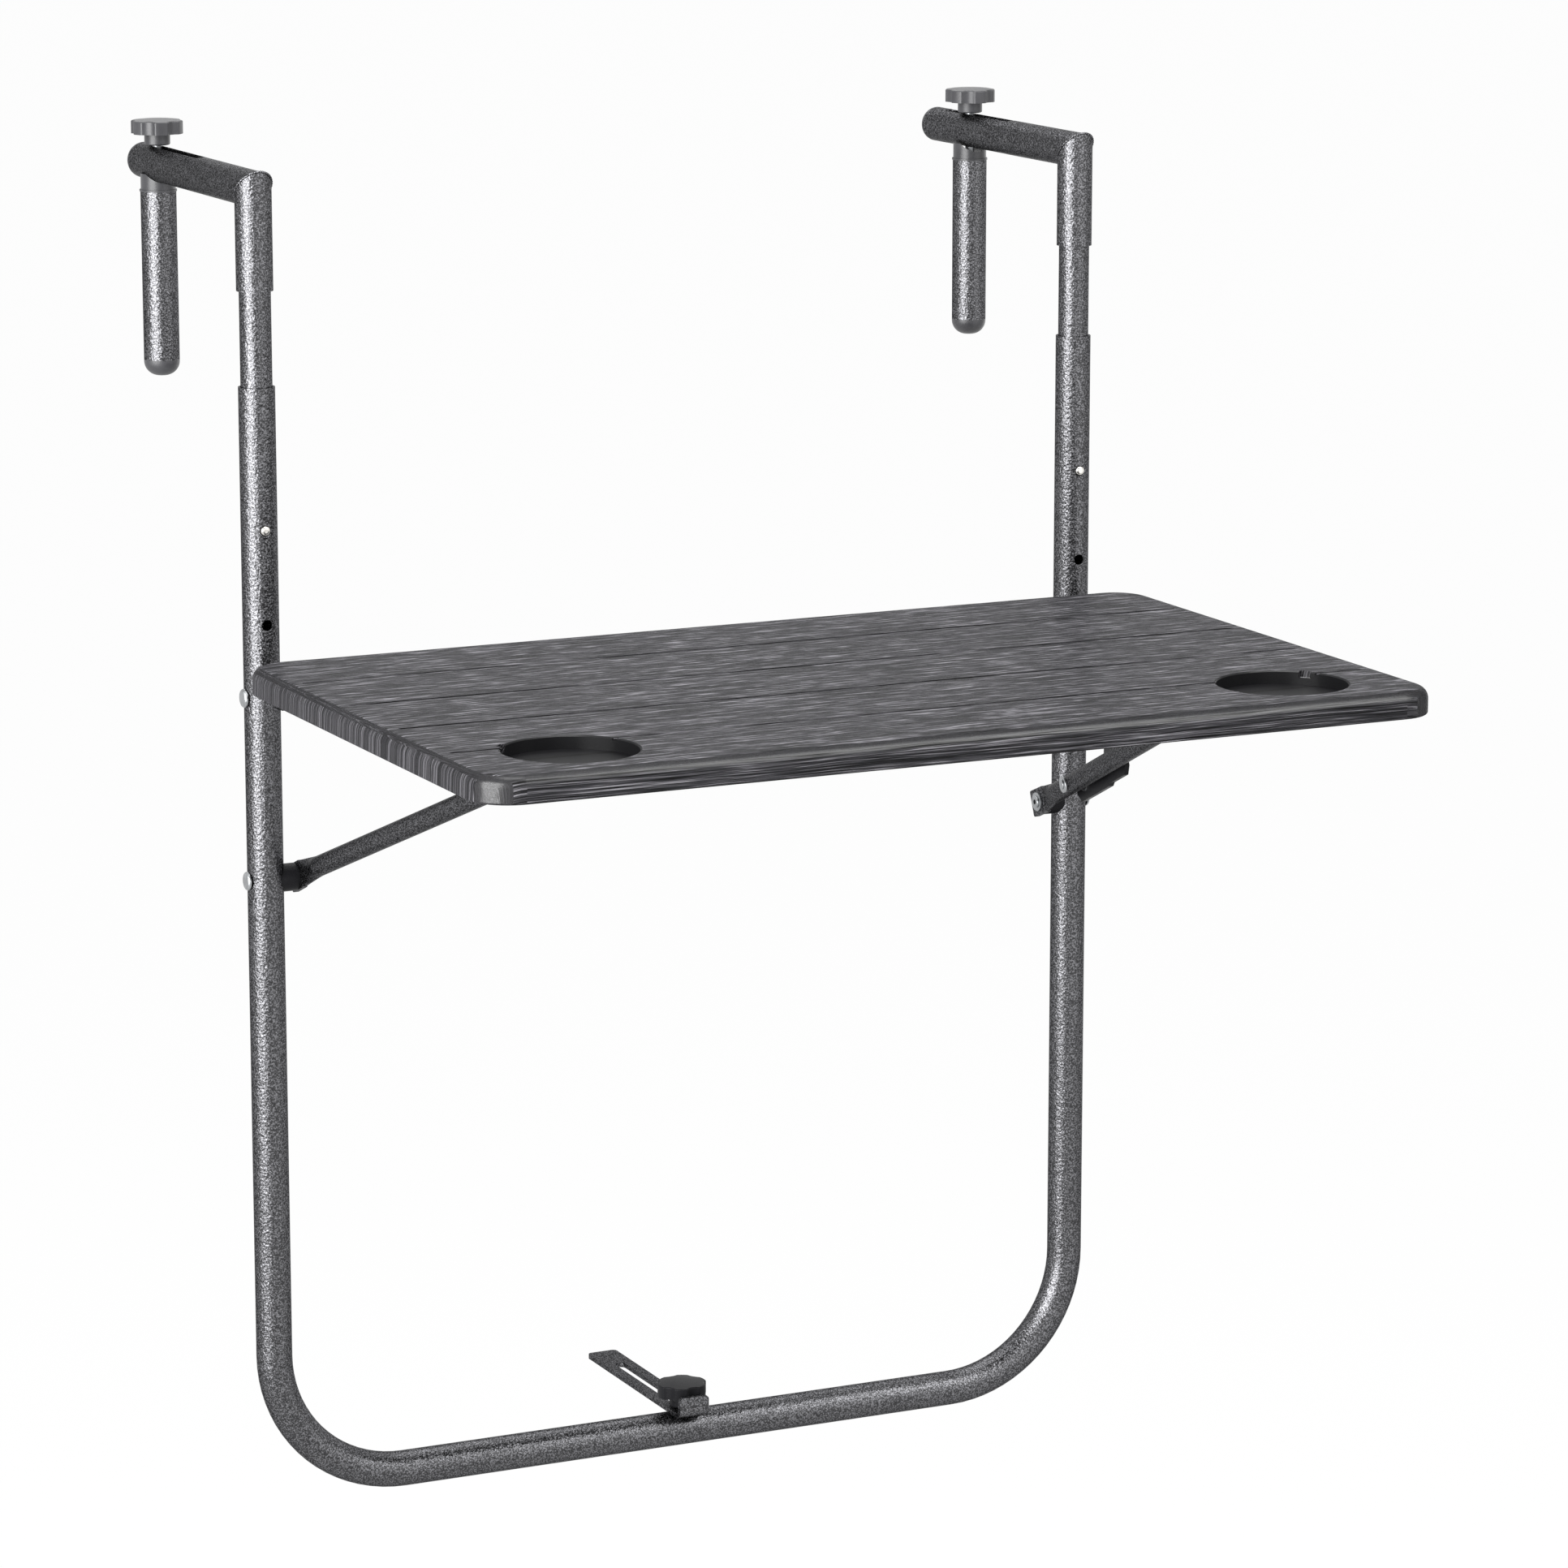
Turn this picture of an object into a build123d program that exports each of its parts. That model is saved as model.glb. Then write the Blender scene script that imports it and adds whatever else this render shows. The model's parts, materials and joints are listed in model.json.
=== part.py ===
from build123d import *

import os
from math import cos, radians, sin, sqrt

# Folding balcony table that hangs on a railing.
# X runs along the board, -Y points to the person at the table, +Y points over the railing, Z is up.
# The origin lies midway between the two hook arms, in the plane of the posts, at the level of the
# underside of the arms, where the table rests on the railing. All sizes are in millimetres.

# Tubes of the frame and of the hook arms
tube_diameter = 22.0
tube_wall = 1.2
inner_tube_diameter = 19.0
inner_tube_wall = 1.2
bend_radius = 84.0
arm_length = 193.0
sleeve_length = 49.0
height_step = 57.0
button_below_post_top = 85.0
inner_tube_below_button = 25.0
inner_tube_in_sleeve = 40.0

# Heights below the underside of the arms
board_top_drop = 265.0
hinge_below_board_top = 28.0
brace_pivot_below_hinge = 112.0
crossbar_drop = 788.0

# Board
board_length = 600.0
board_past_posts = 26.0
board_depth = 375.0
board_gap_to_posts = 22.0
rim_height = 16.0
rim_wall = 3.5
deck_thickness = 4.0
corner_radius = 25.0
top_edge_radius = 7.0
bottom_edge_radius = 1.2
plank_count = 5
groove_width = 2.6
groove_depth = 1.6
groove_end_margin = 11.0
rib_thickness = 2.0
rib_depth = 7.0
cross_rib_pitch = 75.0
cup_radius = 38.5
cup_depth = 7.8
cup_wall = 2.6
cup_side_margin = 75.0
cup_front_margin = 57.0
cup_notch_width = 7.0
cup_notch_depth = 3.0
cup_notch_height = 4.0
cup_notch_angle = 40.0
cup_edge_bevel = 0.8
boss_radius = 4.6

# Hook arm slot and clamp feet
slot_width = 7.4
slot_start = 84.0
slot_end_margin = 19.0
left_foot_from_end = 26.5
right_foot_from_end = 49.0
right_foot_slack = 2.2
foot_tube_length = 103.6
foot_cap_height = 10.0
saddle_diameter = 21.4
saddle_height = 6.0
saddle_horn = 5.0
saddle_lip_diameter = 23.0
saddle_lip_height = 1.2
saddle_plug_length = 14.0
arm_cap_height = 3.0
plug_length = 10.0

# Bolts, knobs and nuts
bolt_diameter = 6.0
bolt_head_width = 10.0
bolt_head_height = 4.0
knob_radius = 16.0
knob_rim_height = 9.0
knob_hub_radius = 7.9
knob_hub_edge_radius = 1.0
knob_hub_height = 7.0
knob_lobes = 6
knob_scallop_radius = 7.2
knob_scallop_depth = 2.0
knob_lobe_edge_radius = 1.5
knob_crown = 1.0
knob_edge_radius = 1.0
knob_top_cover = 3.0
nut_width = 10.0
nut_height = 5.0
left_knob_turn = -9.4
right_knob_turn = -1.5
strip_knob_turn = 34.5

# Snap buttons and their springs
button_diameter = 6.0
button_stand_out = 1.2
button_flange_diameter = 8.4
button_flange_thickness = 0.8
spring_width = 6.0
spring_thickness = 0.8
spring_above_button = 7.0
spring_below_button = 20.0
spring_bend_radius = 5.0

# Board hinges
hinge_rivet_diameter = 6.0
rivet_head_diameter = 11.5
rivet_head_height = 2.0
rivet_roll_diameter = 7.6
rivet_roll_height = 1.2
rivet_bore_diameter = 3.2
washer_diameter = 12.0
washer_thickness = 1.0
hinge_spacer_diameter = 16.0
hinge_spacer_thickness = 1.0
bracket_thickness = 2.5
bracket_eye_radius = 9.5
bracket_reach = 100.0
bracket_flange_width = 30.0
bracket_flange_thickness = 2.0
bracket_nose_height = 4.5

# Brace under the board
brace_diameter = 12.5
brace_wall = 1.2
brace_length = 312.0
brace_tip_below_ribs = 11.1
leg_lean = 7.9
brace_bend_radius = 25.0
brace_flat_width = 17.0
brace_flat_thickness = 3.2
brace_flat_overhang = 8.5
brace_flat_length = 10.0
brace_flat_corner = 1.5
brace_flare_length = 22.0
brace_spacer_diameter = 17.0
brace_spacer_length = 8.0
rest_from_corner = 61.0
rest_width = 36.0
rest_flange_length = 20.0
rest_flange_thickness = 5.0
rest_back_wall = 6.0
rest_hook_depth = 3.0
rest_front_reach = 2.0

# Fold stop on the right-hand leg of the brace
stop_rivet_from_pivot = 63.0
stop_rivet_diameter = 5.0
stop_disc_diameter = 11.0
stop_disc_thickness = 1.2
stop_crown_diameter = 6.4
stop_crown_height = 0.8
stop_thickness = 3.0
stop_back = 47.0
stop_back_slant = 6.0
stop_body_end = 106.0
stop_tip = 140.0
stop_tip_slant = 5.0
stop_upper_edge = 6.0
stop_lower_edge = 11.2
stop_tab_lower_edge = 9.6
stop_lug_length = 26.0
stop_lug_thickness = 2.5
stop_lug_end_margin = 2.0

# Lower distance strip
strip_width = 20.0
strip_thickness = 3.0
strip_front = 19.5
strip_back = 127.0
strip_lip_height = 14.0
strip_lip_corner_radius = 2.5
strip_bend_radius = 4.0
strip_slot_width = 6.6
strip_slot_back_margin = 28.0
strip_slot_front_margin = 8.0
strip_corner_radius = 3.0
rivet_nut_diameter = 9.0
rivet_nut_length = 12.0
rivet_nut_collar_diameter = 11.5
rivet_nut_collar_height = 4.0
stud_below_crossbar_axis = 4.0

# Screws in the board
screw_diameter = 3.4
screw_head_diameter = 7.0
screw_head_height = 2.2
screw_length = 8.0

# Clearances
slide_gap = 0.3
running_gap = 0.05
face_gap = 0.1
touch_gap = 0.02

# Values that follow from the sizes above
tube_radius = tube_diameter / 2
tube_bore_radius = tube_radius - tube_wall
inner_radius = inner_tube_diameter / 2
inner_bore_radius = inner_radius - inner_tube_wall
half_board = board_length / 2
post_x = half_board - board_past_posts
arm_z = tube_radius
post_top_z = -sleeve_length - height_step
button_z = post_top_z - button_below_post_top
lower_hole_z = button_z - height_step
inner_tube_bottom_z = button_z - inner_tube_below_button
inner_tube_top_z = -sleeve_length + inner_tube_in_sleeve
board_top_z = -board_top_drop
hinge_z = board_top_z - hinge_below_board_top
pivot_z = hinge_z - brace_pivot_below_hinge
crossbar_z = -crossbar_drop
bolt_radius = bolt_diameter / 2
slot_end = arm_length - slot_end_margin
left_foot_reach = arm_length - left_foot_from_end
right_foot_reach = arm_length - right_foot_from_end
board_back_y = -tube_radius - board_gap_to_posts
board_front_y = board_back_y - board_depth
board_mid_y = (board_back_y + board_front_y) / 2
rim_bottom_z = board_top_z - rim_height
deck_bottom_z = board_top_z - deck_thickness
rib_bottom_z = deck_bottom_z - rib_depth
plank_width = board_depth / plank_count
cup_x = half_board - cup_side_margin
cup_y = board_front_y + cup_front_margin
brace_radius = brace_diameter / 2
tip_z = rib_bottom_z - brace_tip_below_ribs
brace_sin = (tip_z - pivot_z) / brace_length
brace_cos = sqrt(1 - brace_sin**2)
tip_y = -brace_length * brace_cos
lean_cos = cos(radians(leg_lean))
lean_sin = sin(radians(leg_lean))

# Stack of pieces on the inner side of each post, measured from the tube towards the middle
post_inner_x = post_x - tube_radius
bracket_outer_x = post_inner_x - hinge_spacer_thickness - 2 * face_gap
bracket_inner_x = bracket_outer_x - bracket_thickness
brace_outer_x = post_inner_x - brace_spacer_length - face_gap
brace_x = brace_outer_x - brace_flat_thickness / 2
brace_inner_x = brace_outer_x - brace_flat_thickness
brace_corner_x = brace_x - (brace_length - brace_flat_length) * lean_sin / lean_cos
rest_x = brace_corner_x - rest_from_corner


def rod_x(radius, start, end, y, z):
    """Round bar along X."""
    return Pos((start + end) / 2, y, z) * Rot(0, 90, 0) * Cylinder(radius, abs(end - start))


def rod_y(radius, start, end, x, z):
    """Round bar along Y."""
    return Pos(x, (start + end) / 2, z) * Rot(90, 0, 0) * Cylinder(radius, abs(end - start))


def rod_z(radius, start, end, x, y):
    """Round bar along Z."""
    return Pos(x, y, (start + end) / 2) * Cylinder(radius, abs(end - start))


def block(x_range, y_range, z_range):
    """Rectangular block between the given limits."""
    sizes = [high - low for low, high in (x_range, y_range, z_range)]
    middle = [(low + high) / 2 for low, high in (x_range, y_range, z_range)]
    return Pos(*middle) * Box(*sizes)


def hexagon_z(width, start, end, x, y):
    """Hexagonal prism along Z, given by its width across flats."""
    outline = RegularPolygon(width / 2, 6, major_radius=False)
    return Pos(x, y, start) * extrude(outline, amount=end - start)


def mirrored(piece):
    """The same piece on the other side of the table."""
    return mirror(piece, about=Plane.YZ)


def ring(outer, inner):
    """Tube section."""
    return Circle(outer) - Circle(inner)


def make_frame():
    """Two posts and the crossbar, bent from one tube, with the holes for buttons, rivets and nut."""
    path = FilletPolyline(
        (-post_x, 0, post_top_z),
        (-post_x, 0, crossbar_z),
        (post_x, 0, crossbar_z),
        (post_x, 0, post_top_z),
        radius=bend_radius,
    )
    section = Plane(origin=path @ 0, z_dir=path % 0) * ring(tube_radius, tube_bore_radius)
    frame = sweep(section, path=path)
    button_hole = button_diameter / 2 + slide_gap
    rivet_hole = hinge_rivet_diameter / 2 + running_gap
    for x in (-post_x, post_x):
        for z in (button_z, lower_hole_z):
            frame -= rod_y(button_hole, -tube_diameter, 0, x, z)
        for z in (hinge_z, pivot_z):
            frame -= rod_x(rivet_hole, x - tube_diameter, x + tube_diameter, 0, z)
    nut_hole = rivet_nut_diameter / 2 + running_gap
    return frame - rod_z(nut_hole, crossbar_z, crossbar_z + tube_diameter, 0, 0)


def make_arm(x):
    """Slotted hook arm and its short vertical sleeve, cut to the same mitre and welded."""
    mitre = Plane(origin=(x, 0, arm_z), z_dir=(0, 1, 1))
    tube_end = arm_length - arm_cap_height
    arm = rod_y(tube_radius, -tube_diameter, tube_end, x, arm_z)
    arm -= rod_y(tube_bore_radius, -tube_diameter - 1, tube_end + 1, x, arm_z)
    arm = split(arm, bisect_by=mitre, keep=Keep.TOP)
    slot = Rot(0, 0, 90) * SlotOverall(slot_end - slot_start, slot_width)
    cutter = extrude(slot, amount=tube_diameter, both=True)
    arm -= Pos(x, (slot_start + slot_end) / 2, arm_z) * cutter
    sleeve = rod_z(tube_radius, -sleeve_length, arm_z + tube_diameter, x, 0)
    sleeve -= rod_z(tube_bore_radius, -sleeve_length - 1, arm_z + tube_diameter + 1, x, 0)
    sleeve = split(sleeve, bisect_by=mitre, keep=Keep.BOTTOM)
    return arm, sleeve


def make_arm_cap(x):
    """Low rounded plug in the far end of a hook arm."""
    start = arm_length - arm_cap_height
    head = rod_y(tube_radius, start, arm_length, x, arm_z)
    rounded = arm_cap_height * 0.7
    head = fillet(head.edges().filter_by(GeomType.CIRCLE).sort_by(Axis.Y)[-1], rounded)
    plug_radius = tube_bore_radius - face_gap
    return head + rod_y(plug_radius, start - plug_length, start, x, arm_z)


def make_inner_tube(x):
    """Thinner tube fixed in the sleeve, which slides in the post."""
    tube = rod_z(inner_radius, inner_tube_bottom_z, inner_tube_top_z, x, 0)
    tube -= rod_z(inner_bore_radius, inner_tube_bottom_z - 1, inner_tube_top_z + 1, x, 0)
    return tube - rod_y(button_diameter / 2 + slide_gap, -tube_diameter, 0, x, button_z)


def make_snap_button(x):
    """Domed button on its base flange."""
    flange_reach = sqrt(inner_bore_radius**2 - (button_flange_diameter / 2) ** 2) - face_gap
    flange_back = -flange_reach + button_flange_thickness
    button = rod_y(button_diameter / 2, -tube_radius - button_stand_out, flange_back, x, button_z)
    front_edge = button.edges().filter_by(GeomType.CIRCLE).sort_by(Axis.Y)[0]
    button = fillet(front_edge, button_diameter * 0.3)
    return button + rod_y(button_flange_diameter / 2, -flange_reach, flange_back, x, button_z)


def make_snap_spring(x):
    """U-shaped leaf that presses the button out through both tubes."""
    flange_reach = sqrt(inner_bore_radius**2 - (button_flange_diameter / 2) ** 2) - face_gap
    front_y = -flange_reach + button_flange_thickness + spring_thickness / 2
    back_y = sqrt(inner_bore_radius**2 - (spring_width / 2) ** 2) - slide_gap - spring_thickness / 2
    path = FilletPolyline(
        (x, front_y, button_z + spring_above_button),
        (x, front_y, button_z - spring_below_button),
        (x, back_y, button_z - spring_below_button),
        (x, back_y, button_z + spring_above_button),
        radius=spring_bend_radius,
    )
    section = Plane(origin=path @ 0, x_dir=(1, 0, 0), z_dir=path % 0) * Rectangle(spring_width, spring_thickness)
    return sweep(section, path=path)


def make_clamp_foot(x, y, slack):
    """Saddle, tube, end cap and bolt of one clamp foot, which hangs the given slack below the arm."""
    seam_z = -saddle_height - slack
    tube_bottom = seam_z - foot_tube_length
    plug_radius = tube_bore_radius - face_gap
    saddle = rod_z(saddle_diameter / 2, seam_z, saddle_horn - slack, x, y)
    saddle += rod_z(saddle_lip_diameter / 2, seam_z, seam_z + saddle_lip_height, x, y)
    saddle -= rod_y(tube_radius + slide_gap, y - tube_diameter, y + tube_diameter, x, arm_z - slack)
    saddle += rod_z(plug_radius, seam_z - saddle_plug_length, seam_z, x, y)
    saddle -= rod_z(bolt_radius + face_gap, seam_z - tube_diameter, tube_radius, x, y)
    tube = rod_z(tube_radius, tube_bottom, seam_z, x, y)
    tube -= rod_z(tube_bore_radius, tube_bottom - 1, seam_z + 1, x, y)
    cap = rod_z(tube_radius, tube_bottom - foot_cap_height, tube_bottom, x, y)
    low_edge = cap.edges().filter_by(GeomType.CIRCLE).sort_by(Axis.Z)[0]
    cap = fillet(low_edge, foot_cap_height * 0.9)
    cap += rod_z(plug_radius, tube_bottom, tube_bottom + plug_length, x, y)
    head_top = seam_z - saddle_plug_length
    bolt = make_bolt(x, y, head_top, tube_diameter + slide_gap)
    return saddle, tube, cap, bolt


def make_bolt(x, y, head_top, knob_bottom):
    """Hexagon bolt whose free end stands in the nut of a knob."""
    shank_top = knob_bottom + knob_hub_height + knob_rim_height - knob_top_cover - 1
    bolt = rod_z(bolt_radius, head_top, shank_top, x, y)
    return bolt + hexagon_z(bolt_head_width, head_top - bolt_head_height, head_top, x, y)


def make_knob(x, y, bottom, turn):
    """Star knob with a low crown on a round hub, hollowed for its bolt and for a hexagon."""
    outline = Circle(knob_radius)
    scallop_centre = knob_radius - knob_scallop_depth + knob_scallop_radius
    outline -= PolarLocations(scallop_centre, knob_lobes, turn) * Circle(knob_scallop_radius)
    outline = fillet(outline.vertices(), knob_lobe_edge_radius)
    rim = extrude(outline, amount=knob_rim_height)
    crown_radius = (knob_radius**2 + knob_crown**2) / (2 * knob_crown)
    rim &= Pos(0, 0, knob_rim_height - crown_radius) * Sphere(crown_radius)
    rim = fillet(rim.faces().sort_by(Axis.Z)[-1].edges(), knob_edge_radius)
    hub = rod_z(knob_hub_radius, -knob_hub_height, 0, 0, 0)
    hub = fillet(hub.edges().filter_by(GeomType.CIRCLE).sort_by(Axis.Z)[0], knob_hub_edge_radius)
    rim_bottom = bottom + knob_hub_height
    knob = Pos(x, y, rim_bottom) * (rim + hub)
    knob -= hexagon_z(nut_width + 2 * face_gap, rim_bottom, rim_bottom + nut_height + face_gap, x, y)
    return knob - rod_z(bolt_radius + slide_gap, bottom - 1, rim_bottom + knob_rim_height - knob_top_cover, x, y)


def make_knob_nut(x, y, bottom):
    """Hexagon nut moulded into a clamp knob."""
    nut_bottom = bottom + knob_hub_height
    nut = hexagon_z(nut_width, nut_bottom, nut_bottom + nut_height, x, y)
    return nut - rod_z(bolt_radius + running_gap, nut_bottom - 1, nut_bottom + nut_height + 1, x, y)


def bracket_screw_places():
    """Screw places of the right-hand hinge bracket."""
    x = bracket_inner_x - (bracket_flange_width - bracket_thickness) / 2
    back = board_back_y - rim_wall - boss_radius - 6
    front = -bracket_reach + boss_radius + 3
    return [(x, back), (x, front)]


def rest_screw_places():
    """Screw places of the right-hand brace rest."""
    y = rest_back_y() + rest_flange_length / 2
    return [(rest_x - rest_width / 4, y), (rest_x + rest_width / 4, y)]


def rest_back_y():
    """Back of the hook that holds the brace."""
    return tip_y + brace_radius + slide_gap + rest_back_wall


def flange_top_z():
    """Level of the screw bosses under the board."""
    return rim_bottom_z + bracket_flange_thickness + 1


def make_board():
    """Moulded board: planked deck, turned-down rim, cup holders, ribs and screw bosses below."""
    outline = RectangleRounded(board_length, board_depth, corner_radius)
    board = Pos(0, board_mid_y, rim_bottom_z) * extrude(outline, amount=rim_height)
    board = fillet(board.faces().sort_by(Axis.Z)[-1].edges(), top_edge_radius)
    board = fillet(board.faces().sort_by(Axis.Z)[0].edges(), bottom_edge_radius)
    hollow = RectangleRounded(
        board_length - 2 * rim_wall, board_depth - 2 * rim_wall, corner_radius - rim_wall
    )
    board -= Pos(0, board_mid_y, rim_bottom_z) * extrude(hollow, amount=rim_height - deck_thickness)
    inside_x = (-half_board + rim_wall / 2, half_board - rim_wall / 2)
    inside_y = (board_front_y + rim_wall / 2, board_back_y - rim_wall / 2)
    rib_z = (rib_bottom_z, deck_bottom_z)
    half_rib = rib_thickness / 2
    ribs = []
    for index in range(1, plank_count):
        y = board_back_y - index * plank_width
        ribs.append(block(inside_x, (y - half_rib, y + half_rib), rib_z))
    rib_count = int((half_board - rim_wall) // cross_rib_pitch)
    for index in range(-rib_count, rib_count + 1):
        x = index * cross_rib_pitch
        if abs(x) < half_board - corner_radius:
            ribs.append(block((x - half_rib, x + half_rib), inside_y, rib_z))
    board += ribs
    bosses = []
    boss_holes = []
    for side in (-1, 1):
        for x, y in bracket_screw_places():
            bosses.append(rod_z(boss_radius, flange_top_z(), deck_bottom_z, side * x, y))
            boss_holes.append(screw_hole(side * x, y, flange_top_z()))
        for x, y in rest_screw_places():
            bosses.append(rod_z(boss_radius, rib_bottom_z, deck_bottom_z, side * x, y))
            boss_holes.append(screw_hole(side * x, y, rib_bottom_z))
        well_bottom = board_top_z - cup_depth - cup_wall
        bosses.append(rod_z(cup_radius + cup_wall, well_bottom, deck_bottom_z, side * cup_x, cup_y))
    board += bosses
    board -= boss_holes
    cuts = []
    groove = SlotOverall(board_length - 2 * groove_end_margin, groove_width)
    for index in range(1, plank_count):
        y = board_back_y - index * plank_width
        cuts.append(Pos(0, y, board_top_z - groove_depth) * extrude(groove, amount=2 * groove_depth))
    for side in (-1, 1):
        cuts.append(rod_z(cup_radius, board_top_z - cup_depth, board_top_z + 1, side * cup_x, cup_y))
        bevel = Cone(cup_radius, cup_radius + 2 * cup_edge_bevel, 2 * cup_edge_bevel)
        cuts.append(Pos(side * cup_x, cup_y, board_top_z) * bevel)
        notch = block(
            (0, cup_radius + cup_notch_depth),
            (-cup_notch_width / 2, cup_notch_width / 2),
            (board_top_z - cup_notch_height, board_top_z + 1),
        )
        turn = cup_notch_angle if side > 0 else 180 - cup_notch_angle
        cuts.append(Pos(side * cup_x, cup_y, 0) * Rot(0, 0, turn) * notch)
    return board - cuts


def screw_hole(x, y, mouth_z):
    """Blind pilot hole of a boss."""
    end_z = min(mouth_z + screw_length, board_top_z - deck_thickness / 2)
    return rod_z(screw_diameter / 2 + running_gap, mouth_z - 1, end_z, x, y)


def make_bracket():
    """Right-hand hinge bracket: an eye round the rivet, an arm under the rim and a screwed flange."""
    nose_z = rim_bottom_z - bracket_nose_height / 2
    inner_y = board_back_y - rim_wall - 2
    flange_top = flange_top_z() - touch_gap
    flange_bottom = flange_top - bracket_flange_thickness
    side_view = Plane(origin=(bracket_inner_x, 0, 0), x_dir=(0, -1, 0), z_dir=(-1, 0, 0))
    arm_outline = Polygon(
        (0, hinge_z),
        (bracket_eye_radius * 0.4, hinge_z - bracket_eye_radius * 0.9),
        (bracket_reach, flange_bottom - bracket_nose_height / 2),
        (bracket_reach, flange_top),
        (-inner_y, flange_top),
        (-inner_y, nose_z),
        (0, hinge_z + bracket_eye_radius * 0.85),
        align=None,
    )
    eye = Pos(0, hinge_z) * Circle(bracket_eye_radius)
    plate = extrude(side_view * (arm_outline + eye), amount=-bracket_thickness)
    flange = block(
        (bracket_outer_x - bracket_flange_width, bracket_outer_x),
        (-bracket_reach, inner_y),
        (flange_bottom, flange_top),
    )
    bracket = plate + flange
    bracket -= rod_x(
        hinge_rivet_diameter / 2 + running_gap,
        bracket_inner_x - bracket_thickness,
        bracket_outer_x + bracket_thickness,
        0,
        hinge_z,
    )
    for x, y in bracket_screw_places():
        bracket -= rod_z(screw_diameter / 2 + face_gap, flange_bottom - 1, flange_top + 1, x, y)
    return bracket


def make_screw(x, y, head_top):
    """Pan-head screw that points up into the board."""
    head = rod_z(screw_head_diameter / 2, head_top - screw_head_height, head_top, x, y)
    head = fillet(head.edges().filter_by(GeomType.CIRCLE).sort_by(Axis.Z)[0], screw_head_height * 0.5)
    return head + rod_z(screw_diameter / 2, head_top, head_top + screw_length, x, y)


def make_rivet(inner_end_x, z):
    """Right-hand tubular rivet with a domed head outside the post and a rolled end inside."""
    head_x = post_x + tube_radius + touch_gap
    head = rod_x(rivet_head_diameter / 2, head_x, head_x + rivet_head_height, 0, z)
    outer_edge = head.edges().filter_by(GeomType.CIRCLE).sort_by(Axis.X)[-1]
    head = fillet(outer_edge, rivet_head_height * 0.85)
    roll_start = inner_end_x - rivet_roll_height
    roll = rod_x(rivet_roll_diameter / 2, roll_start, inner_end_x, 0, z)
    roll = fillet(roll.edges().filter_by(GeomType.CIRCLE).sort_by(Axis.X)[0], rivet_roll_height * 0.6)
    shank = rod_x(hinge_rivet_diameter / 2, inner_end_x, head_x, 0, z)
    bore = rod_x(rivet_bore_diameter / 2, roll_start - 1, inner_end_x + tube_radius / 2, 0, z)
    return head + shank + roll - bore


def make_washer(outer_x, z, thickness, diameter):
    """Washer on a rivet, given by its face nearest to the post."""
    washer = rod_x(diameter / 2, outer_x - thickness, outer_x, 0, z)
    bore = hinge_rivet_diameter / 2 + running_gap
    return washer - rod_x(bore, outer_x - thickness - 1, outer_x + 1, 0, z)


def make_brace_spacer():
    """Right-hand spacer between post and brace, hollowed to sit on the round post."""
    seat = post_inner_x - brace_spacer_length
    spacer = rod_x(brace_spacer_diameter / 2, seat, post_x, 0, pivot_z)
    spacer -= rod_z(tube_radius + touch_gap, pivot_z - tube_diameter, pivot_z + tube_diameter, post_x, 0)
    bore = hinge_rivet_diameter / 2 + running_gap
    return spacer - rod_x(bore, seat - 1, post_x, 0, pivot_z)


def leg_point(along):
    """Point on the right-hand leg of the brace, given square to the pivot axis."""
    lean = max(along - brace_flat_length, 0) * lean_sin / lean_cos
    return (brace_x - lean, -along * brace_cos, pivot_z + along * brace_sin)


def flat_plane():
    """Plane of the flattened right-hand end: local X points along the brace, local Y square to it."""
    return Plane(origin=(brace_x, 0, pivot_z), x_dir=(0, -brace_cos, brace_sin), z_dir=(-1, 0, 0))


def leg_plane(outward):
    """Plane beside the right-hand leg, the given distance outside its axis."""
    along = Vector(-lean_sin, -lean_cos * brace_cos, lean_cos * brace_sin)
    sideways = Vector(lean_cos, -lean_sin * brace_cos, lean_sin * brace_sin)
    base = Vector(*leg_point(brace_flat_length)) - along * brace_flat_length
    return Plane(origin=base + sideways * outward, x_dir=along, z_dir=-sideways)


def leg_plate(outline, inside, outside):
    """Plate beside the right-hand leg between two distances from its axis."""
    return extrude(leg_plane(outside) * outline, amount=outside - inside)


def leg_rod(radius, along, inside, outside):
    """Round bar square to the right-hand leg."""
    return leg_plate(Pos(along, 0) * Circle(radius), inside, outside)


def make_brace_end():
    """Flattened right-hand end of the brace, which swells into the round leg."""
    length = brace_flat_overhang + brace_flat_length
    outline = Pos(length / 2 - brace_flat_overhang, 0) * RectangleRounded(
        length, brace_flat_width, brace_flat_corner
    )
    flat = extrude(flat_plane() * outline, amount=brace_flat_thickness / 2, both=True)
    flare_start = brace_flat_length - brace_flat_corner
    flare_end = brace_flat_length + brace_flare_length
    start_plane = Plane(
        origin=leg_point(flare_start), x_dir=(1, 0, 0), z_dir=(0, -brace_cos, brace_sin)
    )
    start = start_plane * RectangleRounded(
        brace_flat_thickness - 2 * running_gap,
        brace_flat_width - 2 * running_gap,
        brace_flat_thickness * 0.45,
    )
    end_plane = Plane(
        origin=leg_point(flare_end),
        x_dir=leg_plane(0).z_dir * -1,
        z_dir=leg_plane(0).x_dir,
    )
    end = end_plane * Circle(brace_radius)
    ending = flat + loft([start.face(), end.face()])
    hole = hinge_rivet_diameter / 2 + running_gap
    return ending - rod_x(hole, brace_x - brace_diameter, brace_x + brace_diameter, 0, pivot_z)


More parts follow.
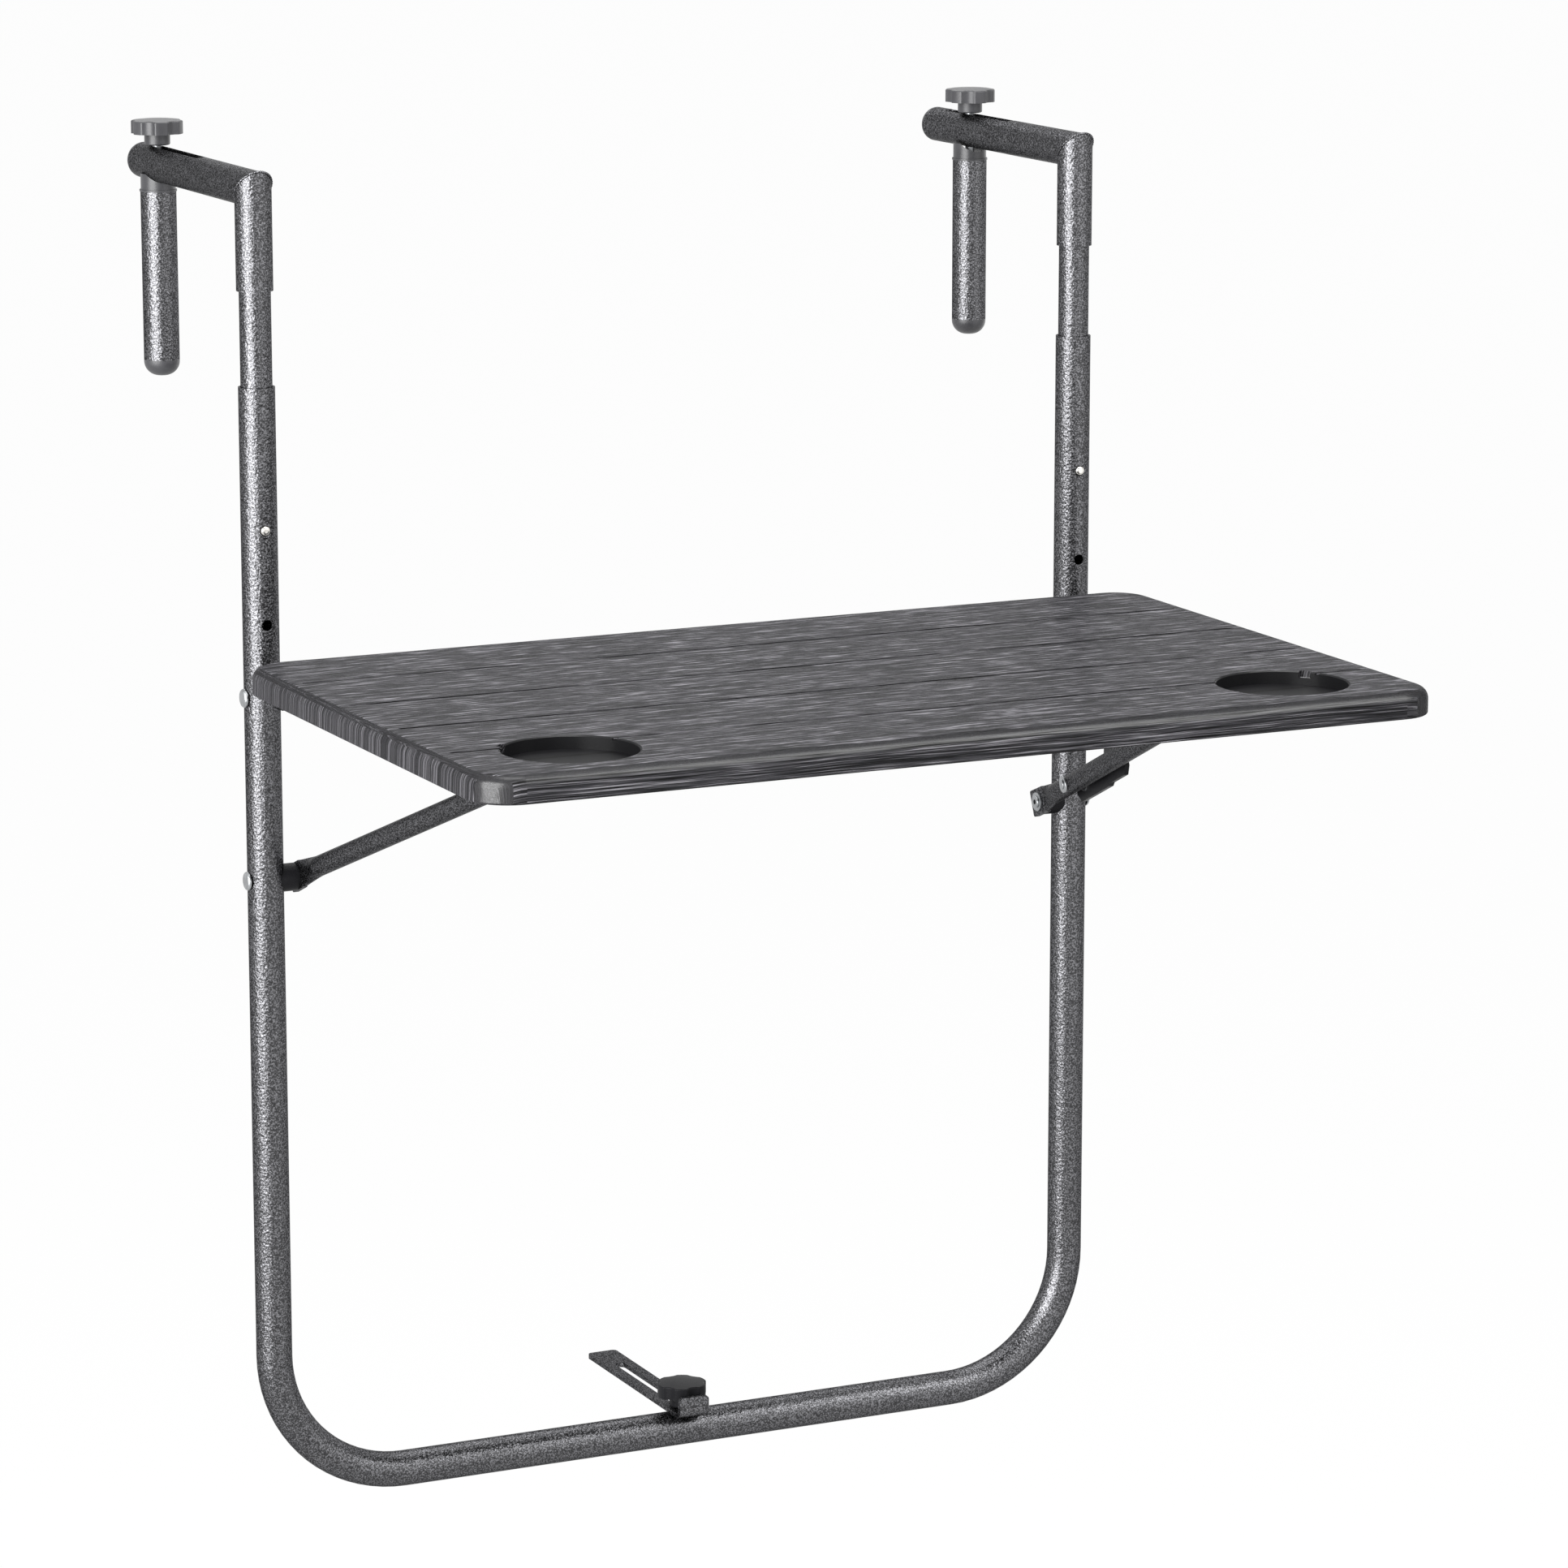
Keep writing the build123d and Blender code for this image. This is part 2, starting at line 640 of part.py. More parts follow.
def make_brace():
    """U-shaped brace bent from one tube; its legs lean together and both ends are flattened."""
    start = leg_point(brace_flat_length + brace_flare_length)
    corner = leg_point(brace_length)
    path = FilletPolyline(
        (-start[0], start[1], start[2]),
        (-corner[0], corner[1], corner[2]),
        corner,
        start,
        radius=brace_bend_radius,
    )
    section = Plane(origin=path @ 0, z_dir=path % 0) * ring(brace_radius, brace_radius - brace_wall)
    ending = make_brace_end()
    brace = sweep(section, path=path)
    brace += [ending, mirrored(ending)]
    bore = stop_rivet_diameter / 2 + running_gap
    return brace - leg_rod(bore, stop_rivet_from_pivot, -brace_diameter, brace_diameter)


def make_rest():
    """Right-hand rest under the board that hooks over the back and top of the brace."""
    x_range = (rest_x - rest_width / 2, rest_x + rest_width / 2)
    top = rib_bottom_z - touch_gap
    back = rest_back_y()
    hook = block(x_range, (tip_y - rest_front_reach, back), (tip_z - rest_hook_depth, top))
    hook -= rod_x(brace_radius + slide_gap, x_range[0] - 1, x_range[1] + 1, tip_y, tip_z)
    below_axis = block(
        (x_range[0] - 1, x_range[1] + 1),
        (tip_y - brace_diameter, tip_y + brace_radius + slide_gap),
        (tip_z - brace_diameter, tip_z),
    )
    hook -= below_axis
    flange = block(x_range, (back, back + rest_flange_length), (top - rest_flange_thickness, top))
    rest = hook + flange
    for x, y in rest_screw_places():
        rest -= rod_z(screw_diameter / 2 + face_gap, top - tube_diameter, top + 1, x, y)
    return rest


def stop_inside():
    """Distance from the axis of the leg to the inner face of the fold stop."""
    return brace_radius + washer_thickness + 2 * face_gap


def make_fold_stop():
    """Riveted strap with a tab whose lug comes to rest on the front of the folded post."""
    inside = stop_inside()
    outside = inside + stop_thickness
    lug_bottom = tube_radius + slide_gap
    lug_top = lug_bottom + stop_lug_thickness
    lug_middle = stop_tip - stop_tip_slant - stop_lug_length / 2
    lug_back = lug_middle - stop_lug_length / 2
    body = Polygon(
        (stop_back + stop_back_slant, -stop_lower_edge),
        (stop_body_end, -stop_lower_edge),
        (stop_body_end + stop_thickness, -stop_tab_lower_edge),
        (stop_tip - stop_tip_slant, -stop_tab_lower_edge),
        (stop_tip, -stop_tab_lower_edge + stop_tip_slant),
        (stop_tip, stop_upper_edge),
        (stop_tip - stop_tip_slant, lug_top),
        (lug_back, lug_top),
        (lug_back - stop_tip_slant, stop_upper_edge),
        (stop_back, stop_upper_edge),
        (stop_back, -stop_lower_edge + stop_back_slant),
        align=None,
    )
    strap = leg_plate(body, inside, outside)
    reach = (post_x - stop_lug_end_margin - leg_point(lug_middle)[0]) / lean_cos
    lug_outline = Pos(lug_middle, (lug_bottom + lug_top) / 2) * Rectangle(stop_lug_length, stop_lug_thickness)
    stop = strap + leg_plate(lug_outline, inside, reach)
    bore = stop_rivet_diameter / 2 + running_gap
    return stop - leg_rod(bore, stop_rivet_from_pivot, inside - 1, outside + 1)


def make_stop_rivet():
    """Rivet with a crowned disc on the inner side of the leg, flush with the strap outside."""
    seat = -brace_radius - touch_gap
    disc = leg_rod(stop_disc_diameter / 2, stop_rivet_from_pivot, seat - stop_disc_thickness, seat)
    disc = fillet(disc.edges().filter_by(GeomType.CIRCLE).sort_by(Axis.X)[0], stop_disc_thickness * 0.5)
    crown_seat = seat - stop_disc_thickness
    crown = leg_rod(stop_crown_diameter / 2, stop_rivet_from_pivot, crown_seat - stop_crown_height, crown_seat)
    crown = fillet(crown.edges().filter_by(GeomType.CIRCLE).sort_by(Axis.X)[0], stop_crown_height * 0.6)
    shank_end = stop_inside() + stop_thickness
    return disc + crown + leg_rod(stop_rivet_diameter / 2, stop_rivet_from_pivot, seat, shank_end)


def make_stop_washer():
    """Washer between the leg and the strap of the fold stop."""
    inside = brace_radius + face_gap
    outside = inside + washer_thickness
    washer = leg_rod(washer_diameter / 2, stop_rivet_from_pivot, inside, outside)
    bore = stop_rivet_diameter / 2 + running_gap
    return washer - leg_rod(bore, stop_rivet_from_pivot, inside - 1, outside + 1)


def strip_bottom_z():
    """Underside of the distance strip on top of the crossbar."""
    return crossbar_z + tube_radius + slide_gap


def make_strip():
    """Slotted flat strip with its front end turned up."""
    middle_z = strip_bottom_z() + strip_thickness / 2
    path = FilletPolyline(
        (0, strip_back, middle_z),
        (0, -strip_front + strip_thickness / 2, middle_z),
        (0, -strip_front + strip_thickness / 2, strip_bottom_z() + strip_lip_height),
        radius=strip_bend_radius,
    )
    section = Plane(origin=path @ 0, x_dir=(1, 0, 0), z_dir=path % 0) * Rectangle(strip_width, strip_thickness)
    strip = sweep(section, path=path)
    back_corners = strip.edges().filter_by(Axis.Z).group_by(Axis.Y)[-1]
    strip = fillet(back_corners, strip_corner_radius)
    lip_corners = strip.edges().filter_by(Axis.Y).group_by(Axis.Z)[-1]
    strip = fillet(lip_corners, strip_lip_corner_radius)
    slot_back = strip_back - strip_slot_back_margin
    slot_front = -strip_front + strip_thickness + strip_slot_front_margin - strip_slot_width / 2
    slot = Rot(0, 0, 90) * SlotOverall(slot_back - slot_front, strip_slot_width)
    cutter = extrude(slot, amount=strip_thickness * 2, both=True)
    return strip - Pos(0, (slot_back + slot_front) / 2, middle_z) * cutter


def make_stud(knob_bottom):
    """Stud held in the strip knob by its hexagon head, which screws into the crossbar."""
    head_bottom = knob_bottom + knob_hub_height
    head = hexagon_z(nut_width, head_bottom, head_bottom + nut_height, 0, 0)
    return head + rod_z(bolt_radius, crossbar_z - stud_below_crossbar_axis, head_bottom, 0, 0)


def make_rivet_nut():
    """Nut set in the upper wall of the crossbar, with a collar squeezed out under the wall."""
    nut_radius = rivet_nut_diameter / 2
    collar_radius = rivet_nut_collar_diameter / 2
    top = crossbar_z + sqrt(tube_radius**2 - nut_radius**2)
    collar_top = crossbar_z + sqrt(tube_bore_radius**2 - collar_radius**2) - touch_gap
    nut = rod_z(nut_radius, top - rivet_nut_length, top, 0, 0)
    nut += rod_z(collar_radius, collar_top - rivet_nut_collar_height, collar_top, 0, 0)
    return nut - rod_z(bolt_radius + running_gap, top - rivet_nut_length - 1, top + 1, 0, 0)


def make_all():
    """Every piece of the table, by name."""
    parts = {"u_frame": make_frame()}
    knob_bottom = tube_diameter + slide_gap
    for side, x, reach, slack, turn in (
        ("left", -post_x, left_foot_reach, 0, left_knob_turn),
        ("right", post_x, right_foot_reach, right_foot_slack, right_knob_turn),
    ):
        arm, sleeve = make_arm(x)
        parts[f"{side}_arm_tube"] = arm
        parts[f"{side}_arm_sleeve"] = sleeve
        parts[f"{side}_arm_cap"] = make_arm_cap(x)
        parts[f"{side}_inner_tube"] = make_inner_tube(x)
        parts[f"{side}_snap_button"] = make_snap_button(x)
        parts[f"{side}_snap_spring"] = make_snap_spring(x)
        saddle, tube, cap, bolt = make_clamp_foot(x, reach, slack)
        parts[f"{side}_clamp_saddle"] = saddle
        parts[f"{side}_clamp_tube"] = tube
        parts[f"{side}_clamp_cap"] = cap
        parts[f"{side}_clamp_bolt"] = bolt
        parts[f"{side}_clamp_knob"] = make_knob(x, reach, knob_bottom, turn)
        parts[f"{side}_knob_nut"] = make_knob_nut(x, reach, knob_bottom)

    parts["table_board"] = make_board()
    bracket = make_bracket()
    parts["left_hinge_bracket"] = mirrored(bracket)
    parts["right_hinge_bracket"] = bracket
    bracket_head_z = flange_top_z() - bracket_flange_thickness - 2 * touch_gap
    screws = [make_screw(x, y, bracket_head_z) for x, y in bracket_screw_places()]
    parts["bracket_screws"] = Compound(children=screws + [mirrored(screw) for screw in screws])
    rest = make_rest()
    parts["left_brace_rest"] = mirrored(rest)
    parts["right_brace_rest"] = rest
    rest_head_z = rib_bottom_z - rest_flange_thickness - 2 * touch_gap
    screws = [make_screw(x, y, rest_head_z) for x, y in rest_screw_places()]
    parts["rest_screws"] = Compound(children=screws + [mirrored(screw) for screw in screws])

    hinge_roll_x = bracket_inner_x - face_gap - washer_thickness - touch_gap
    brace_roll_x = brace_inner_x - face_gap - washer_thickness - touch_gap
    pairs = {
        "hinge_rivets": make_rivet(hinge_roll_x, hinge_z),
        "hinge_spacers": make_washer(
            post_inner_x - face_gap, hinge_z, hinge_spacer_thickness, hinge_spacer_diameter
        ),
        "hinge_washers": make_washer(bracket_inner_x - face_gap, hinge_z, washer_thickness, washer_diameter),
        "brace_rivets": make_rivet(brace_roll_x, pivot_z),
        "brace_spacers": make_brace_spacer(),
        "brace_washers": make_washer(brace_inner_x - face_gap, pivot_z, washer_thickness, washer_diameter),
    }
    for name, piece in pairs.items():
        parts[name] = Compound(children=[mirrored(piece), piece])

    parts["brace"] = make_brace()
    parts["fold_stop"] = make_fold_stop()
    parts["stop_rivet"] = make_stop_rivet()
    parts["stop_washer"] = make_stop_washer()

    parts["distance_strip"] = make_strip()
    strip_knob_bottom = strip_bottom_z() + strip_thickness + slide_gap
    parts["strip_knob"] = make_knob(0, 0, strip_knob_bottom, strip_knob_turn)
    parts["strip_bolt"] = make_stud(strip_knob_bottom)
    parts["strip_knob_nut"] = make_rivet_nut()
    return parts


os.makedirs("parts", exist_ok=True)
for part_name, part in make_all().items():
    export_step(part, f"parts/{part_name}.step")
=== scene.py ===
import json
from math import cos, pi, radians, sin

import bpy
import numpy as np
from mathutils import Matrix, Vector


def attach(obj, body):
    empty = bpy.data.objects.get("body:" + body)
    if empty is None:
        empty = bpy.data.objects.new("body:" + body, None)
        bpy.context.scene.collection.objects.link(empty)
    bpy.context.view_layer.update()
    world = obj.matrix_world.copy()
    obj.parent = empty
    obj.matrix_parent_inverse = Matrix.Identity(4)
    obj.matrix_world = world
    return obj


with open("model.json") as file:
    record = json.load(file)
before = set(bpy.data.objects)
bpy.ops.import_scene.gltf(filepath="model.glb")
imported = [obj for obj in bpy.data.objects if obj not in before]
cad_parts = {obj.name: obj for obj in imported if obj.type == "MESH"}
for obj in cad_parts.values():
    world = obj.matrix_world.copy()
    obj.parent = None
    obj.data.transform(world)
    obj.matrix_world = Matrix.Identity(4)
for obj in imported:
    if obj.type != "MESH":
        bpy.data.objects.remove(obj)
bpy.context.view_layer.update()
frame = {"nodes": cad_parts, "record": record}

# Sizes of the table, in metres
tube_radius = 0.011
post_x = 0.274
arm_axis_z = 0.011
board_back_y = -0.033
plank_width = 0.075
groove_width = 0.0026
groove_end_x = 0.289
cup_x = 0.225
cup_y = -0.351
cup_radius = 0.0385
cup_edge_start = 0.0004
cup_edge_end = 0.0012

# Weld bead: sizes in metres, the share by which its radius ripples, and how many ripples go round
weld_radius = 0.0007
weld_corner_fill = 0.0024
weld_ripple = 0.18
weld_ripples = 46
weld_path_steps = 6 * weld_ripples
weld_profile_steps = 10

# Grain of the board: streaks per metre along and across the planks, lengths in metres, and its middle value
coarse_streaks = (17.0, 400.0)
fine_streaks = (60.0, 850.0)
sway_streaks = (14.0, 30.0)
sway_width = 0.006
plank_shift = 3.7
grain_middle = 0.46
grain_relief = 0.0040

# Camera, floor and lamps
picture_pixels = 1932.0
focal_pixels = 7235.6
sensor_width = 36.0
look_at = Vector((0.0004, -0.150, -0.3427))
camera_azimuth = -25.47
camera_elevation = 11.78
camera_distance = 3.507
camera_reach = 200.0
floor_z = -1.9
floor_half_size = 60.0
lamp_distance = 2.6


# Shader helpers

def place(tree, kind, **settings):
    """Adds a node and sets the input sockets that settings name."""
    made = tree.nodes.new(kind)
    for key, value in settings.items():
        made.inputs[key].default_value = value
    return made


def join(tree, source, target):
    """Links an output socket to an input socket."""
    tree.links.new(source, target)


def fill_inputs(tree, node, values):
    """Sets a node's first inputs in order, each from a socket or a plain number."""
    for socket, value in zip(node.inputs, values):
        if isinstance(value, (int, float)):
            socket.default_value = value
        else:
            join(tree, value, socket)


def math_node(tree, operation, *values):
    """Math node whose inputs are sockets or plain numbers."""
    made = tree.nodes.new("ShaderNodeMath")
    made.operation = operation
    fill_inputs(tree, made, values)
    return made.outputs[0]


def plus(tree, first, second):
    """Sum of two sockets or numbers."""
    return math_node(tree, "ADD", first, second)


def minus(tree, first, second):
    """Difference of two sockets or numbers."""
    return math_node(tree, "SUBTRACT", first, second)


def times(tree, first, second):
    """Product of two sockets or numbers."""
    return math_node(tree, "MULTIPLY", first, second)


def size_of(tree, value):
    """Value without its sign."""
    return math_node(tree, "ABSOLUTE", value)


def vector_of(tree, x, y, z):
    """Vector from three sockets or plain numbers."""
    made = tree.nodes.new("ShaderNodeCombineXYZ")
    fill_inputs(tree, made, (x, y, z))
    return made.outputs[0]


def parts_of(tree, vector):
    """The three parts of a vector."""
    made = tree.nodes.new("ShaderNodeSeparateXYZ")
    join(tree, vector, made.inputs[0])
    return made.outputs


def ramp(tree, source, *stops):
    """Colour ramp from (position, colour) stops."""
    made = tree.nodes.new("ShaderNodeValToRGB")
    elements = made.color_ramp.elements
    while len(elements) < len(stops):
        elements.new(0.5)
    for element, (position, colour) in zip(elements, stops):
        element.position = position
        element.color = (*colour, 1.0)
    join(tree, source, made.inputs[0])
    return made.outputs[0]


def span(tree, source, low, high, out_low, out_high):
    """Map Range with its ends clamped."""
    made = tree.nodes.new("ShaderNodeMapRange")
    fill_inputs(tree, made, (source, low, high, out_low, out_high))
    return made.outputs[0]


def noise(tree, vector, detail, roughness):
    """Noise texture value; the vector carries the scale."""
    made = place(tree, "ShaderNodeTexNoise", Scale=1.0, Detail=detail, Roughness=roughness)
    join(tree, vector, made.inputs["Vector"])
    return made.outputs[0]


def bump(tree, height, strength, distance, shader):
    """Bump node from a height to the shader's Normal."""
    made = place(tree, "ShaderNodeBump", Strength=strength, Distance=distance)
    join(tree, height, made.inputs["Height"])
    join(tree, made.outputs[0], shader.inputs["Normal"])


def new_group(name, inputs, outputs):
    """Empty shader group with named number inputs and outputs."""
    tree = bpy.data.node_groups.new(name, "ShaderNodeTree")
    for label, value in inputs.items():
        socket = tree.interface.new_socket(label, in_out="INPUT", socket_type="NodeSocketFloat")
        socket.default_value = value
    for label in outputs:
        tree.interface.new_socket(label, in_out="OUTPUT", socket_type="NodeSocketFloat")
    return tree, tree.nodes.new("NodeGroupInput"), tree.nodes.new("NodeGroupOutput")


def use_group(tree, group, **values):
    """Places a group in a material with its own values."""
    made = tree.nodes.new("ShaderNodeGroup")
    made.node_tree = group
    for key, value in values.items():
        made.inputs[key].default_value = value
    return made


def new_material(name, colour, roughness, metallic=0.0):
    """Material with a Principled shader set to plain values."""
    material = bpy.data.materials.new(name)
    material.use_nodes = True
    shader = material.node_tree.nodes["Principled BSDF"]
    shader.inputs["Base Color"].default_value = (*colour, 1.0)
    shader.inputs["Roughness"].default_value = roughness
    shader.inputs["Metallic"].default_value = metallic
    return material, material.node_tree, shader


# Shared effects

def group_noise(tree, where, scale, detail):
    """Noise texture in a group, with its scale from one of the group's inputs."""
    made = place(tree, "ShaderNodeTexNoise", Detail=detail)
    join(tree, where, made.inputs["Vector"])
    join(tree, scale, made.inputs["Scale"])
    return made.outputs[0]


def make_hammer_group():
    """Hammered paint: rounded Voronoi cells with fine noise as speckle."""
    tree, entry, leave = new_group("hammered skin", {"Cells": 700.0, "Speckle": 1400.0}, ("Height", "Fleck"))
    where = tree.nodes.new("ShaderNodeTexCoord").outputs["Object"]
    cells = tree.nodes.new("ShaderNodeTexVoronoi")
    cells.feature = "SMOOTH_F1"
    join(tree, where, cells.inputs["Vector"])
    join(tree, entry.outputs["Cells"], cells.inputs["Scale"])
    flecks = group_noise(tree, where, entry.outputs["Speckle"], 2.0)
    height = math_node(tree, "MULTIPLY_ADD", flecks, 0.6, cells.outputs["Distance"])
    join(tree, height, leave.inputs["Height"])
    join(tree, span(tree, flecks, 0.46, 0.62, 0.0, 1.0), leave.inputs["Fleck"])
    return tree


def make_moulded_group():
    """Moulded or plated skin: fine pits and a slow change of gloss."""
    tree, entry, leave = new_group("moulded skin", {"Pits": 2200.0, "Patches": 40.0}, ("Height", "Patch"))
    where = tree.nodes.new("ShaderNodeTexCoord").outputs["Object"]
    join(tree, group_noise(tree, where, entry.outputs["Pits"], 2.0), leave.inputs["Height"])
    join(tree, group_noise(tree, where, entry.outputs["Patches"], 4.0), leave.inputs["Patch"])
    return tree


hammered_skin = make_hammer_group()
moulded_skin = make_moulded_group()


# Finish of the tubes

def hammertone_paint():
    """Dark hammered metallic paint with pale flecks, darker where it is seen at a low angle."""
    material, tree, shader = new_material("hammertone_paint", (0.12, 0.12, 0.125), 0.3, 1.0)
    skin = use_group(tree, hammered_skin, Cells=640.0, Speckle=1150.0)
    fleck = skin.outputs["Fleck"]
    colour = ramp(tree, fleck, (0.0, (0.05, 0.05, 0.052)), (1.0, (0.19, 0.19, 0.2)))
    join(tree, colour, shader.inputs["Base Color"])
    join(tree, span(tree, fleck, 0.0, 1.0, 0.26, 0.38), shader.inputs["Roughness"])
    shader.inputs["Specular Tint"].default_value = (0.4, 0.4, 0.4, 1.0)
    bump(tree, skin.outputs["Height"], 0.45, 0.0006, shader)
    return material


# Finish of the board

def streak_noise(tree, along, across, plank, streaks, detail, roughness=0.6):
    """Noise drawn out along a plank; streaks says how many come per metre along and across it."""
    many_along, many_across = streaks
    where = vector_of(tree, times(tree, along, many_along), times(tree, across, many_across), plank)
    return noise(tree, where, detail, roughness)


def plank_grain(tree, position, plank, on_end, on_front):
    """Wood grain: the mean of two streaky noises that sway a little and are finer on the rims."""
    x, y, z = position
    along = plus(tree, x, times(tree, plank, plank_shift))
    along = times(tree, along, span(tree, on_front, 0.0, 1.0, 1.0, 0.4))
    sway = streak_noise(tree, along, y, plank, sway_streaks, 2.0, 0.55)
    level = plus(tree, y, times(tree, z, span(tree, on_end, 0.0, 1.0, 1.0, 0.1)))
    wavy = plus(tree, level, times(tree, sway, sway_width))
    finer_on_end = span(tree, on_end, 0.0, 1.0, 1.0, 2.6)
    finer_on_front = span(tree, on_front, 0.0, 1.0, 0.0, 0.9)
    across = times(tree, wavy, plus(tree, finer_on_end, finer_on_front))
    coarse = streak_noise(tree, along, across, plank, coarse_streaks, 3.0)
    fine = streak_noise(tree, along, across, plank, fine_streaks, 2.0)
    return plus(tree, times(tree, coarse, 0.5), times(tree, fine, 0.5))


def outside_cups(tree, x, y):
    """0 inside the two cup holders and 1 outside them."""
    from_cup = tree.nodes.new("ShaderNodeVectorMath")
    from_cup.operation = "LENGTH"
    away = vector_of(tree, minus(tree, size_of(tree, x), cup_x), minus(tree, y, cup_y), 0.0)
    join(tree, away, from_cup.inputs[0])
    distance = from_cup.outputs["Value"]
    return span(tree, distance, cup_radius + cup_edge_start, cup_radius + cup_edge_end, 0.0, 1.0)


def groove_shade(tree, x, planks_in, upward):
    """Painted shade in the grooves between the planks, as far as the grooves run."""
    from_groove = math_node(tree, "PINGPONG", planks_in, 0.5)
    groove_share = groove_width / plank_width
    in_groove = span(tree, from_groove, groove_share * 0.4, groove_share * 0.65, -0.22, 0.0)
    groove_run = span(tree, size_of(tree, x), groove_end_x - groove_width, groove_end_x, 1.0, 0.0)
    on_deck = times(tree, groove_run, span(tree, upward, 0.3, 0.7, 0.0, 1.0))
    return times(tree, in_groove, on_deck)


def fading_coat(tree, shader, weight, roughness):
    """Glossy coat that fades where the surface is seen at a low angle, as the relief hides it there."""
    facing = tree.nodes.new("ShaderNodeLayerWeight").outputs["Facing"]
    fade = span(tree, facing, 0.15, 0.55, 1.0, 0.0)
    join(tree, times(tree, fade, weight), shader.inputs["Coat Weight"])
    shader.inputs["Coat Roughness"].default_value = roughness


def broken_gloss(tree, shader, slopes, streaks):
    """Gloss that the grain breaks up, on the deck, rounded edges and corners and little on upright rims."""
    sideways, forward, upward = slopes
    off_rim = span(tree, upward, 0.1, 0.35, 0.1, 0.9)
    on_corner = span(tree, times(tree, sideways, forward), 0.1, 0.35, 0.0, 1.0)
    glossy_share = math_node(tree, "MAXIMUM", off_rim, on_corner)
    weight = times(tree, glossy_share, span(tree, streaks, -0.05, 0.06, 0.15, 1.0))
    fading_coat(tree, shader, weight, 0.25)


def board_plastic():
    """Charcoal plastic with an embossed wood grain along each plank, with painted shade in the grooves and
    cups.
    """
    material, tree, shader = new_material("board_plastic", (0.06, 0.056, 0.064), 0.5)
    coordinates = tree.nodes.new("ShaderNodeTexCoord")
    position = list(parts_of(tree, coordinates.outputs["Object"]))
    slopes = [size_of(tree, part) for part in parts_of(tree, coordinates.outputs["Normal"])]
    x, y = position[:2]
    sideways, forward, upward = slopes
    on_end = span(tree, sideways, 0.3, 0.8, 0.0, 1.0)
    on_front = span(tree, forward, 0.3, 0.8, 0.0, 1.0)
    planks_in = math_node(tree, "DIVIDE", minus(tree, board_back_y, y), plank_width)
    plank = math_node(tree, "FLOOR", planks_in)

    grain = plank_grain(tree, position, plank, on_end, on_front)
    outside_cup = outside_cups(tree, x, y)
    strength = times(tree, outside_cup, span(tree, on_end, 0.0, 1.0, 1.0, 1.15))
    streaks = times(tree, minus(tree, grain, grain_middle), strength)
    shaded = plus(tree, streaks, groove_shade(tree, x, planks_in, upward))
    # Painted shade inside the cup holders: their colour value sits below the grain's middle.
    cup_shade = span(tree, outside_cup, 0.0, 1.0, 0.42, grain_middle)
    colour = ramp(
        tree,
        plus(tree, shaded, cup_shade),
        (0.40, (0.004, 0.004, 0.004)),
        (0.49, (0.024, 0.024, 0.027)),
        (0.54, (0.060, 0.058, 0.064)),
        (0.62, (0.270, 0.265, 0.285)),
    )
    join(tree, colour, shader.inputs["Base Color"])
    join(tree, span(tree, streaks, -0.08, 0.16, 0.34, 0.55), shader.inputs["Roughness"])
    shader.inputs["Specular IOR Level"].default_value = 0.04
    broken_gloss(tree, shader, slopes, streaks)
    bump(tree, streaks, 1.0, grain_relief, shader)
    return material


# Finishes of the small pieces

def moulded_plastic(name, colour, roughness, gloss):
    """Satin moulded plastic."""
    material, tree, shader = new_material(name, colour, roughness)
    shader.inputs["Specular IOR Level"].default_value = gloss
    skin = use_group(tree, moulded_skin)
    patch = skin.outputs["Patch"]
    darker = tuple(0.75 * value for value in colour)
    lighter = tuple(1.3 * value for value in colour)
    join(tree, ramp(tree, patch, (0.3, darker), (0.7, lighter)), shader.inputs["Base Color"])
    low, high = roughness - 0.06, roughness + 0.08
    join(tree, span(tree, patch, 0.3, 0.7, low, high), shader.inputs["Roughness"])
    bump(tree, skin.outputs["Height"], 0.25, 0.0002, shader)
    return material


def plated_metal(name, colour, roughness, pits):
    """Plated metal with fine pits and uneven gloss."""
    material, tree, shader = new_material(name, colour, roughness, 1.0)
    skin = use_group(tree, moulded_skin, Pits=pits, Patches=350.0)
    patch = skin.outputs["Patch"]
    duller = tuple(0.78 * value for value in colour)
    join(tree, ramp(tree, patch, (0.35, duller), (0.65, colour)), shader.inputs["Base Color"])
    low, high = roughness * 0.8, roughness * 1.4
    join(tree, span(tree, patch, 0.3, 0.7, low, high), shader.inputs["Roughness"])
    bump(tree, skin.outputs["Height"], 0.15, 0.0001, shader)
    return material


finishes = {
    "hammertone_paint": hammertone_paint(),
    "board_plastic": board_plastic(),
    "dark_plastic": moulded_plastic("dark_plastic", (0.028, 0.028, 0.031), roughness=0.38, gloss=0.5),
    "black_plastic": moulded_plastic("black_plastic", (0.007, 0.007, 0.008), roughness=0.40, gloss=0.08),
    "zinc_steel": plated_metal("zinc_steel", (0.36, 0.37, 0.38), roughness=0.34, pits=1500.0),
    "nickel": plated_metal("nickel", (0.72, 0.70, 0.66), roughness=0.16, pits=2500.0),
    "spring_steel": plated_metal("spring_steel", (0.36, 0.37, 0.40), roughness=0.35, pits=1800.0),
}

# Solids whose finish in the scene isn't the one that the record names: painted shade, the strip knob is the
# same plastic as the other knobs and gets the black finish for the shade of the board above it
painted_shade_finish = {"strip_knob": "black_plastic"}


def dress_nodes():
    """Gives every solid the finish that the record names for it, or the darker finish that paints its shade.
    """
    for entry in frame["record"]["subparts"]:
        piece = frame["nodes"][entry["node"]]
        finish = finishes[painted_shade_finish.get(entry["node"], entry["material_slot"])]
        if not piece.material_slots:
            piece.data.materials.append(finish)
        for held in piece.material_slots:
            held.material = finish


dress_nodes()


# Added pieces

